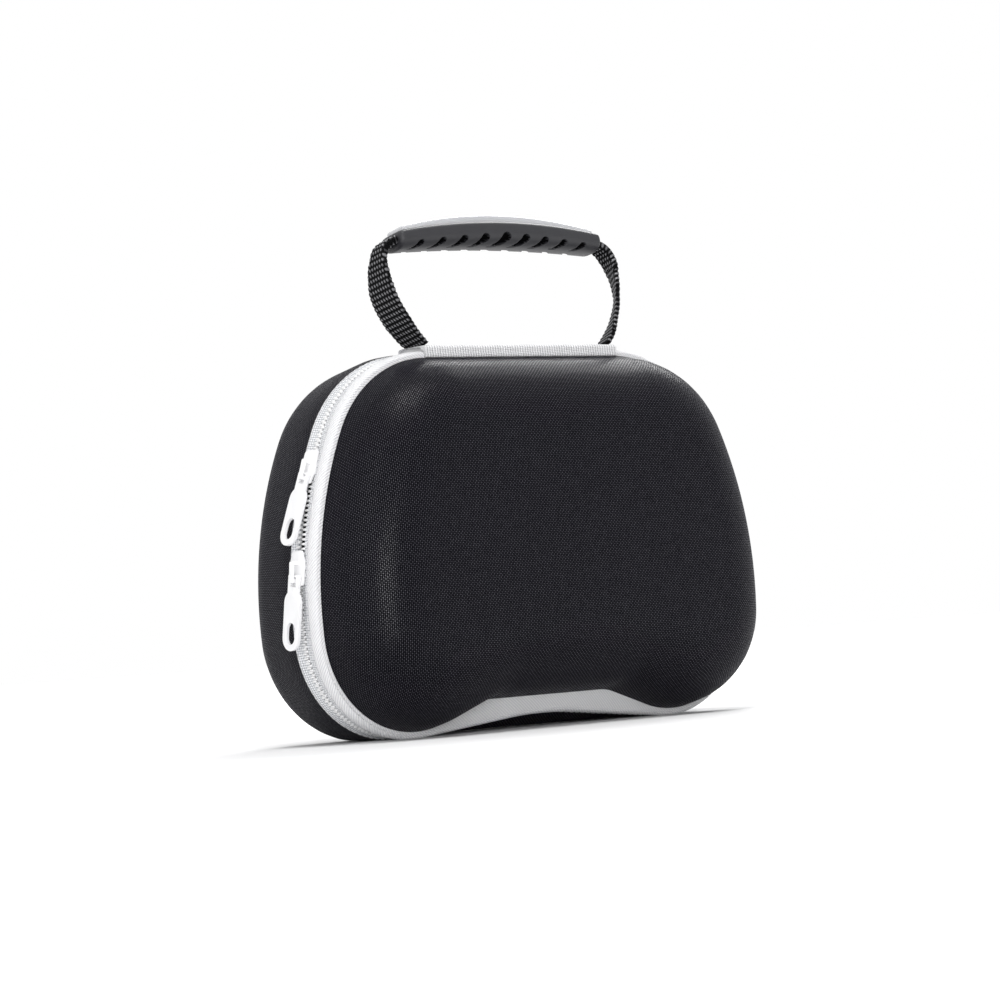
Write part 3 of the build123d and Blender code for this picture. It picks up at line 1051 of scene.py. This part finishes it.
class CASE_OT_webbing(bpy.types.Operator):
    """Handle webbing from one foot through the grip to the other foot"""

    bl_idname = "case.webbing"
    bl_label = "Webbing"

    def execute(self, context):
        right = through(webbing_line, 260)
        path = np.concatenate([right[:-1], (right * (-1, 1))[::-1]])
        path = spaced(path, round(run_length(path)[-1] / webbing_step))
        run = run_length(path)
        tangent = np.gradient(path, axis=0)
        tangent /= np.linalg.norm(tangent, axis=1, keepdims=True)
        normal = np.stack([-tangent[:, 1], tangent[:, 0]], axis=1)
        z = path[:, 1]
        legs = (np.abs(path[:, 0]) > leg_inside) | (z < leg_low)
        heights = [128, 136, 148, 153.5, 158.5, 161.5, 163.5]
        half = np.interp(z, heights, [5.2, 6.5, 6.4, 5.4, 4.0, 3.4, 3.5])
        half = np.where(legs, half, 3.5)
        thick = np.where(legs, np.interp(z, [150, 158, 161, 164], [1.6, 2.2, 2.8, 2.4]), 1.6)
        heights = [128, 131, 136.6, 145.5, 154, 158.7, 162]
        twist = np.interp(z, heights, [-18, -22, -33, -38, -28, -10, 0])
        twist = np.radians(np.where(legs & (path[:, 0] > 0), twist, 0.0))
        loop = []
        for face in (1, -1):
            loop += [(face * share, face) for share in np.linspace(-1, 1, 52)]
        loop.append(loop[0])
        rows = []
        cloth = []
        for across, face in loop:
            v = across * half
            row = run / webbing_row
            column = (v + run * webbing_slant) / webbing_bump + np.floor(row) * 0.5
            crown = np.sin(pi * (row % 1)) * np.sin(pi * (column % 1))
            edge = np.clip((1 - abs(across)) * 6, 0, 1) ** 0.5
            high = face * (thick / 2 * (0.4 + 0.6 * edge) + yarn_height * crown - 0.12)
            wave = 0.2 * np.sin(2 * pi * run / webbing_row) * (abs(across) > 0.98)
            wide = v + np.sign(across) * wave
            turned = wide * np.sin(twist) * np.abs(tangent[:, 1])
            x = path[:, 0] + normal[:, 0] * high * np.cos(twist) - turned
            y = wide * np.cos(twist) + high * np.sin(twist) * normal[:, 0]
            up = path[:, 1] + normal[:, 1] * high - foot_z
            rows.append(leaned(x, y, up))
            cloth.append(np.stack([run, v], axis=1))
        piece = skin("webbing_loop", rows, uvs=cloth, caps=True, smooth=60)
        dress(piece, webbing_yarn())
        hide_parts("handle_strap")
        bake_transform(piece)
        return {"FINISHED"}


def slot_share(x, height):
    """How far points on the grip's side lie inside its slanted, sickle-shaped slots, from 0 to 1."""
    nearest = np.full(x.shape, 9.0)
    for number in range(slot_count):
        outer = abs(number - slot_count // 2) / (slot_count // 2)
        head = 1.75 - 0.70 * outer
        lean = 5.6 - 2.0 * outer
        rise = 5.4 - 1.5 * outer
        foot = (number - slot_count // 2) * slot_step - lean / 2 - 1.8
        for share in np.linspace(0, 1, 24):
            along, up = foot + lean * share**0.8, rise * share**1.2
            reach = head * (0.30 + 0.70 * share**0.8)
            nearest = np.minimum(nearest, np.hypot(x - along, height - up) - reach)
    return eased(np.clip(0.5 - nearest / 0.35, 0, 1))


class CASE_OT_grip(bpy.types.Operator):
    """Moulded grip, round below, with painted shade in its slots, and the pale strip on it"""

    bl_idname = "case.grip"
    bl_label = "Grip"

    def execute(self, context):
        half = grip_length / 2
        reach = half - grip_tip + 0.2
        ends = np.array([0.0, 0.08, 0.25, 0.5, 0.85])
        columns = np.concatenate([ends - half, np.linspace(-reach, reach, 330), half - ends[::-1]])
        arch = 1 - (columns / half) ** 2
        low = grip_low + 1.7 * arch
        top = grip_low + grip_depth + 3.6 * arch
        wide = grip_half_width + 1.0 * arch
        centre = low + 0.60 * (top - low)
        end = np.clip((half - np.abs(columns)) / grip_tip, 0, 1)
        drawn = grip_tip * (1 - np.sqrt(1 - (1 - end) ** 2))
        turns = np.linspace(0, 2 * pi, 900)
        lift = np.sin(turns)
        power = np.where(lift > 0, round_above, round_below)
        across = np.sign(np.cos(turns)) * np.abs(np.cos(turns)) ** power
        lift = np.sign(lift) * np.abs(lift) ** power
        rows = []
        for number, x in enumerate(columns):
            middle, less = centre[number], drawn[number]
            upright = lift * np.where(lift > 0, top[number] - middle - less, middle - low[number] - less)
            ring = spaced(np.stack([across * (wide[number] - less), upright], axis=1), grip_points)
            run = run_length(ring)
            lowest = np.interp(0, ring[grip_points // 2 :, 0], run[grip_points // 2 :])
            height = np.abs(run - lowest) - slot_foot
            here = np.full(grip_points, x)
            deep = slot_share(here, height) * np.clip(height / slot_blend, 0, 1) * (abs(x) < half - 2)
            ring *= (1 - slot_depth * deep)[:, None]
            rows.append(leaned(here, ring[:, 0], ring[:, 1] + middle - foot_z))
        piece = skin("moulded_grip", np.array(rows).transpose(1, 0, 2), caps=True, smooth=60)
        black = (0.011, 0.011, 0.014), (0.018, 0.018, 0.022)
        satin = moulded_plastic("grip_satin_plastic", *black, 0.45, 0.00004)
        # Painted shade: a near-black material for the faces inside the slots, standing in for the shade in
        # these deep recesses.
        dark = (0.0012, 0.0012, 0.0016), (0.002, 0.002, 0.0024)
        painted_slot_shade = moulded_plastic("grip_slot_painted_shade", *dark, 0.8, 0.00004, shine=0.05)
        dress(piece, satin, painted_slot_shade)
        # Faces inside the rim of each slot get the painted shade.
        turn = radians(handle_lean)
        for face in piece.data.polygons:
            x, y, z = face.center / MM
            y, z = y - zip_y - handle_plane, z - foot_z
            y, z = y * cos(turn) - z * sin(turn), foot_z + z * cos(turn) + y * sin(turn)
            lines = (wide, low, top, centre)
            side, bottom, crest, middle = (float(np.interp(x, columns, line)) for line in lines)
            above, below = (round_above, crest - middle), (round_below, middle - bottom)
            squeeze, extent = above if z > middle else below
            bulge = (abs(y) / side) ** (2 / squeeze) + (abs(z - middle) / extent) ** (2 / squeeze)
            face.material_index = int(bulge < slot_rim ** (2 / squeeze) and abs(x) < half - 2)
        belong(piece, "handle", "grip_plastic", "handle_grip")
        piece = finished_copy("grip_cap", "cap_strip", 0.25)
        dress(piece, cap_plastic())
        belong(piece, "handle", "cap_plastic", "grip_cap")
        return {"FINISHED"}


def half_width(ring, heights):
    """Half the width of a ring at some heights on its straight-ish sides."""
    side = ring[(ring[:, 0] > 0) & (ring[:, 1] > lobe_centre[1]) & (ring[:, 0] > top_half)]
    return np.interp(heights, side[:, 1], side[:, 0])


class CASE_OT_inside(bpy.types.Operator):
    """Net pocket, its elastic hem and the retaining strap"""

    bl_idname = "case.inside"
    bl_label = "Fittings inside"

    def execute(self, context):
        elastic = elastic_rib()
        inner_front = outline(front_step + wall + 0.1, shell_notch, 1.0, over_top=False)
        inner_rear = outline(wall + 0.1, rim_notch, 1.0, over_top=False)

        low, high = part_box("mesh_pocket")
        top = high.z / MM
        rim = inner_front[inner_front[:, 1] <= top]
        across = np.linspace(rim[0, 0], rim[-1, 0], len(rim))
        straight = np.stack([across, np.full(len(rim), top + 1.5)], axis=1)
        rows = []
        for share in np.linspace(0, 1, 30):
            line = rim * (1 - share) + straight * share
            row = at_depth(line, low.y / MM - zip_y + 0.4)
            row[:, 1] -= 1.6 * sin(pi * share) * np.sin(np.linspace(0, pi, len(rim)))
            rows.append(row)
        rows_net = np.array(rows)
        net = skin("pocket_net_sheet", rows_net, uvs=rows_net[:, :, (0, 2)], joined=False, smooth=80)
        dress(net, pocket_net())

        for name, node, body, ring, gather in (
            ("pocket_hem", "pocket_elastic", "front_half", inner_front, 0.30),
            ("holding_strap", "retaining_strap", "rear_half", inner_rear, 0.08),
        ):
            low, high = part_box(node)
            base, crest = low.z / MM, high.z / MM
            middle_y = (low.y + high.y) / 2 / MM
            thin = (high.y - low.y) / 2 / MM - gather
            levels = [base + 0.5, *np.linspace(base + 1.2, crest - 1.2, 9), crest - 0.5]
            section = [(z, thin) for z in levels] + [(crest, 0.0)]
            section += [(z, -thin) for z in reversed(levels)] + [(base, 0.0), section[0]]
            shares = np.linspace(-1, 1, 240)
            rows = []
            for z, y in section:
                x = shares * half_width(ring, z)
                ripple = gather * np.sin(2 * pi * x / 5.2) * (1 - np.abs(shares) ** 8)
                rows.append(np.stack([x, middle_y + y + ripple, np.full(len(x), z)], axis=1))
            piece = skin(name, rows, caps=True, smooth=50)
            dress(piece, elastic)
            belong(piece, body, "elastic", node)
        belong(net, "front_half", "mesh", "mesh_pocket")
        return {"FINISHED"}


def seen_ray(finish):
    """1 for rays that show the background: straight ones, and those by way of gloss or glass."""
    kinds = ("Is Camera Ray", "Is Glossy Ray", "Is Transmission Ray")
    first, second, third = (finish.add("LightPath", out=kind) for kind in kinds)
    return first.most(second).most(third)


class CASE_OT_stage(bpy.types.Operator):
    """Floor, light and camera"""

    bl_idname = "case.stage"
    bl_label = "Stage"

    def execute(self, context):
        deselect()
        bpy.ops.mesh.primitive_circle_add(vertices=96, radius=6.0, fill_type="NGON", location=(0, 0, 0))
        floor = bpy.context.object
        floor.name = "floor"
        finish = Finish("pale_floor")
        finish.shader_set(Base_Color=(0.88, 0.88, 0.885), Roughness=0.9, Specular_IOR_Level=0.05)
        far = finish.add("VectorMath", {"operation": "LENGTH"}, out=1, Vector=finish.place())
        soft_step = {"interpolation_type": "SMOOTHSTEP"}
        light = 0.0
        for start, end, power in floor_glow:
            light = light + finish.add("MapRange", soft_step, Value=far, From_Min=start, From_Max=end) * power
        glow = finish.add("Emission", Color=finish.mix(light, (0, 0, 0), (1, 1, 1)))
        plain = Signal(finish, finish.shader.outputs[0])
        lit = finish.join("AddShader", plain, glow)
        finish.show(finish.join("MixShader", seen_ray(finish), plain, lit))
        dress(floor, finish.look)

        sky = Finish("studio", "worlds", "Background", "OutputWorld")
        sky.shader_set(Color=(1, 1, 1), Strength=sky_strength)
        white = sky.add("Background", Color=(1, 1, 1), Strength=1.0)
        soft = Signal(sky, sky.shader.outputs[0])
        sky.show(sky.join("MixShader", seen_ray(sky), soft, white))
        context.scene.world = sky.look

        for name, spot, aim, size, power in lamps:
            bpy.ops.object.light_add(type="AREA", location=spot)
            lamp = context.object
            lamp.name = name
            lamp.data.size = size
            lamp.data.energy = power
            lamp.rotation_euler = (Vector((0, 0, aim)) - Vector(spot)).to_track_quat("-Z", "Y").to_euler()

        azimuth, elevation, roll = map(radians, camera_angles)
        target = Vector((0, zip_y * MM, camera_aim))
        turn = Matrix.Rotation(azimuth, 4, "Z") @ Matrix.Rotation(pi / 2 - elevation, 4, "X")
        bpy.ops.object.camera_add()
        camera = context.object
        camera.name = "photo_camera"
        spot = target + turn.col[2].to_3d() * camera_distance
        camera.matrix_world = Matrix.Translation(spot) @ turn @ Matrix.Rotation(-roll, 4, "Z")
        camera.data.sensor_width = film_width
        camera.data.lens = camera_focus * film_width / photo_width
        camera.data.shift_x, camera.data.shift_y = camera_shift
        camera.data.clip_end = 50
        context.scene.camera = camera
        context.scene.view_settings.view_transform = "Standard"
        return {"FINISHED"}


class CASE_PT_panel(bpy.types.Panel):
    """Buttons that build the case piece by piece"""

    bl_label = "Carrying case"
    bl_idname = "CASE_PT_panel"
    bl_space_type = "VIEW_3D"
    bl_region_type = "UI"
    bl_category = "Case"

    def draw(self, context):
        for operator in operators:
            self.layout.operator(operator.bl_idname)


operators = (
    CASE_OT_stage,
    CASE_OT_shells,
    CASE_OT_binding,
    CASE_OT_tapes,
    CASE_OT_teeth,
    CASE_OT_stitches,
    CASE_OT_hinge,
    CASE_OT_sliders,
    CASE_OT_webbing,
    CASE_OT_grip,
    CASE_OT_inside,
)
classes = (CaseLooks, *operators, CASE_PT_panel)


def register():
    for item in classes:
        bpy.utils.register_class(item)
    bpy.types.Scene.case_looks = bpy.props.PointerProperty(type=CaseLooks)


def unregister():
    del bpy.types.Scene.case_looks
    for item in reversed(classes):
        bpy.utils.unregister_class(item)


def main():
    register()
    for operator in operators:
        family, name = operator.bl_idname.split(".")
        getattr(getattr(bpy.ops, family), name)()


if __name__ == "__main__":
    main()
